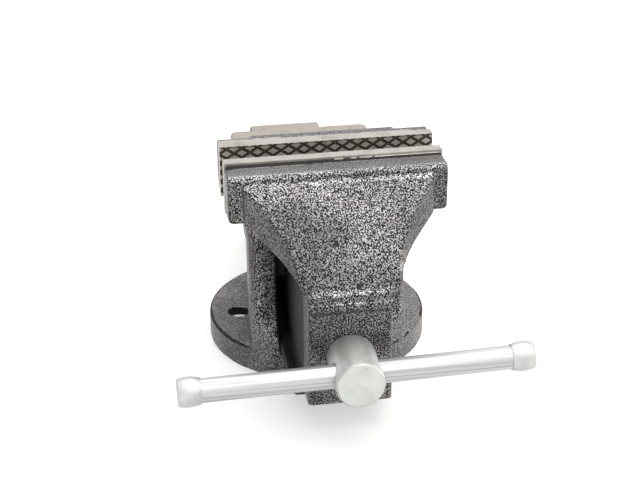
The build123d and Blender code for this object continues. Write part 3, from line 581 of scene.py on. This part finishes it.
def threadedRod(size):
    bpy.ops.object.select_all(action="DESELECT")
    bpy.ops.mesh.primitive_plane_add(size=0.001)
    rod = bpy.context.object
    rod.name = "threadedRod"
    bpy.ops.object.mode_set(mode="EDIT")
    bpy.ops.mesh.select_mode(type="VERT")
    bpy.ops.mesh.select_all(action="SELECT")
    bpy.ops.mesh.merge(type="CENTER")
    start = size["threadFront"] - 2 * size["pitch"]
    bpy.ops.transform.translate(value=(0, start, size["crest"]))
    root = size["pitch"] - size["crestWidth"] - 2 * size["flank"]
    for along, out in ((size["crestWidth"], 0), (size["flank"], -size["depth"]), (root, 0),
                       (size["flank"], size["depth"])):
        bpy.ops.mesh.extrude_region_move(TRANSFORM_OT_translate={"value": (0, along, out)})
    leaveEdit()
    turns = math.ceil((size["threadRear"] - size["threadFront"]) / size["pitch"]) + 4
    applyModifier(rod, "SCREW", {
        "axis": "Y", "angle": math.tau, "screw_offset": size["pitch"], "iterations": turns,
        "steps": size["steps"], "render_steps": size["steps"], "use_merge_vertices": True,
        "merge_threshold": size["weld"] / 5})
    editMesh("VERT")
    bpy.ops.mesh.select_all(action="SELECT")
    bpy.ops.mesh.remove_doubles(threshold=size["weld"])
    cutAcross(size["threadFront"], False)
    cutAcross(size["threadRear"], True)
    bpy.ops.mesh.select_all(action="SELECT")
    bpy.ops.transform.translate(value=(0, 0, size["axisZ"]))
    bpy.ops.mesh.normals_make_consistent(inside=False)
    leaveEdit()
    return rod


threadedSpindle = copyNode("spindle", "threadedSpindle")
editMesh("VERT")
cutAcross(spindleSize["headEnd"], True)
leaveEdit()
rod = threadedRod(spindleSize)
pick(threadedSpindle)
rod.select_set(True)
bpy.ops.object.join()
threadedSpindle.data.materials.clear()
threadedSpindle.data.materials.append(zinc)
cutFaces(threadedSpindle, faced, lambda at, facing: at.y < spindleSize["faceY"]
         and facing.y < spindleSize["faceOn"])
# painted shade: the head's rounded edge gets the duller zinc
cutFaces(threadedSpindle, rubbedWearAndEdgeShade, lambda at, facing: at.y < spindleSize["edgeY"]
         and between(facing.y, (spindleSize["faceOn"], spindleSize["edgeOn"])))
bpy.ops.object.shade_smooth_by_angle(angle=math.radians(spindleSize["smoothAngle"]))
handOver(threadedSpindle, "screw", "spindle")
print("threaded spindle:", len(threadedSpindle.data.polygons), "faces")

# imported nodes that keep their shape
keptFinishes = {
    "fixed_jaw_screws": black, "moving_jaw_screws": black, "handle_bar": drawn,
    "handle_cap_left": capped, "handle_cap_right": capped, "spindle_nut": rawIronAndShade, "nut_bolt": zinc,
    "nut_washer": zinc, "front_spring_washer": spring, "takeup_spring": spring,
    "rear_spring_washer": spring, "retaining_pin": spring,
}
for nodeName, finish in keptFinishes.items():
    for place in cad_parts[nodeName].material_slots:
        place.material = finish
print("kept nodes:", len(keptFinishes))

stageSize = {"floor": 6.0, "paper": "#dededc", "paperLift": 0.5, "skyFill": 0.3, "skySeen": 1.0}

bpy.ops.object.select_all(action="DESELECT")
bpy.ops.mesh.primitive_plane_add(size=stageSize["floor"])
floor = bpy.context.object
floor.name = "floor"
paper = newMaterial("matPaper")
ray = addNode(paper, "ShaderNodeLightPath", {}, {})
mirrored = addNode(paper, "ShaderNodeMath", {"operation": "MAXIMUM"}, {
    0: ray.outputs["Is Camera Ray"], 1: ray.outputs["Is Glossy Ray"]})
lift = addNode(paper, "ShaderNodeMath", {"operation": "MULTIPLY"}, {
    0: mirrored.outputs[0], 1: stageSize["paperLift"]})
paperShader = addNode(paper, "ShaderNodeBsdfPrincipled", {}, {
    "Base Color": toLinear(stageSize["paper"]), "Roughness": 0.9, "Emission Color": (1, 1, 1, 1),
    "Emission Strength": lift.outputs[0]})
finishMaterial(paper, paperShader)
floor.data.materials.append(paper)

world = bpy.data.worlds.new("studio")
bpy.context.scene.world = world
world.use_nodes = True
world.node_tree.nodes.clear()
seen = addNode(world, "ShaderNodeLightPath", {}, {})
seenOrShiny = addNode(world, "ShaderNodeMath", {"operation": "MAXIMUM"}, {
    0: seen.outputs["Is Camera Ray"], 1: seen.outputs["Is Glossy Ray"]})
white = addNode(world, "ShaderNodeMath", {"operation": "MAXIMUM"}, {
    0: seenOrShiny.outputs[0], 1: seen.outputs["Is Transmission Ray"]})
strength = addNode(world, "ShaderNodeMapRange", {}, {
    "Value": white.outputs[0], "To Min": stageSize["skyFill"], "To Max": stageSize["skySeen"]})
sky = addNode(world, "ShaderNodeBackground", {}, {"Color": (1, 1, 1, 1), "Strength": strength.outputs[0]})
addNode(world, "ShaderNodeOutputWorld", {}, {"Surface": sky.outputs[0]})

lamps = {
    "keyBox": {"at": (0.32, -0.66, 1.15), "size": 1.3, "watts": 11},
    "topBox": {"at": (0.1, 0.35, 1.2), "size": 1.0, "watts": 9},
    "leftBox": {"at": (-0.5, -1.1, 0.12), "size": 0.3, "watts": 0.9},
    "rightBox": {"at": (1.2, -0.15, 0.2), "size": 0.5, "watts": 5},
}
target = Vector((0, -0.02, 0.06))
for lampName, lamp in lamps.items():
    bpy.ops.object.light_add(type="AREA", location=lamp["at"])
    box = bpy.context.object
    box.name = lampName
    box.data.shape = "SQUARE"
    box.data.size = lamp["size"]
    box.data.energy = lamp["watts"]
    box.rotation_euler = (Vector(lamp["at"]) - target).to_track_quat("Z", "Y").to_euler()

cameraPlace = {"turn": -9.000024, "height": 25.706707, "roll": -0.441582, "away": 0.756279,
               "target": (0.00221309, 0.0, 0.04928832), "lens": 84.375}
turn, height, roll = (math.radians(cameraPlace[k]) for k in ("turn", "height", "roll"))
backward = Vector((math.sin(turn) * math.cos(height), -math.cos(turn) * math.cos(height), math.sin(height)))
sideways = Vector((math.cos(turn), math.sin(turn), 0))
upward = backward.cross(sideways)
bpy.ops.object.camera_add()
camera = bpy.context.object
camera.name = "camera"
camera.data.lens = cameraPlace["lens"]
camera.data.sensor_width = 36
camera.data.clip_start = 0.01
axisX = sideways * math.cos(roll) + upward * math.sin(roll)
axisY = upward * math.cos(roll) - sideways * math.sin(roll)
spot = Vector(cameraPlace["target"]) + backward * cameraPlace["away"]
for row in range(3):
    for column, axis in enumerate((axisX, axisY, backward, spot)):
        camera.matrix_world[row][column] = axis[row]
bpy.context.scene.camera = camera
bpy.context.scene.view_settings.view_transform = "Standard"
print("floor, lamps and camera in place")
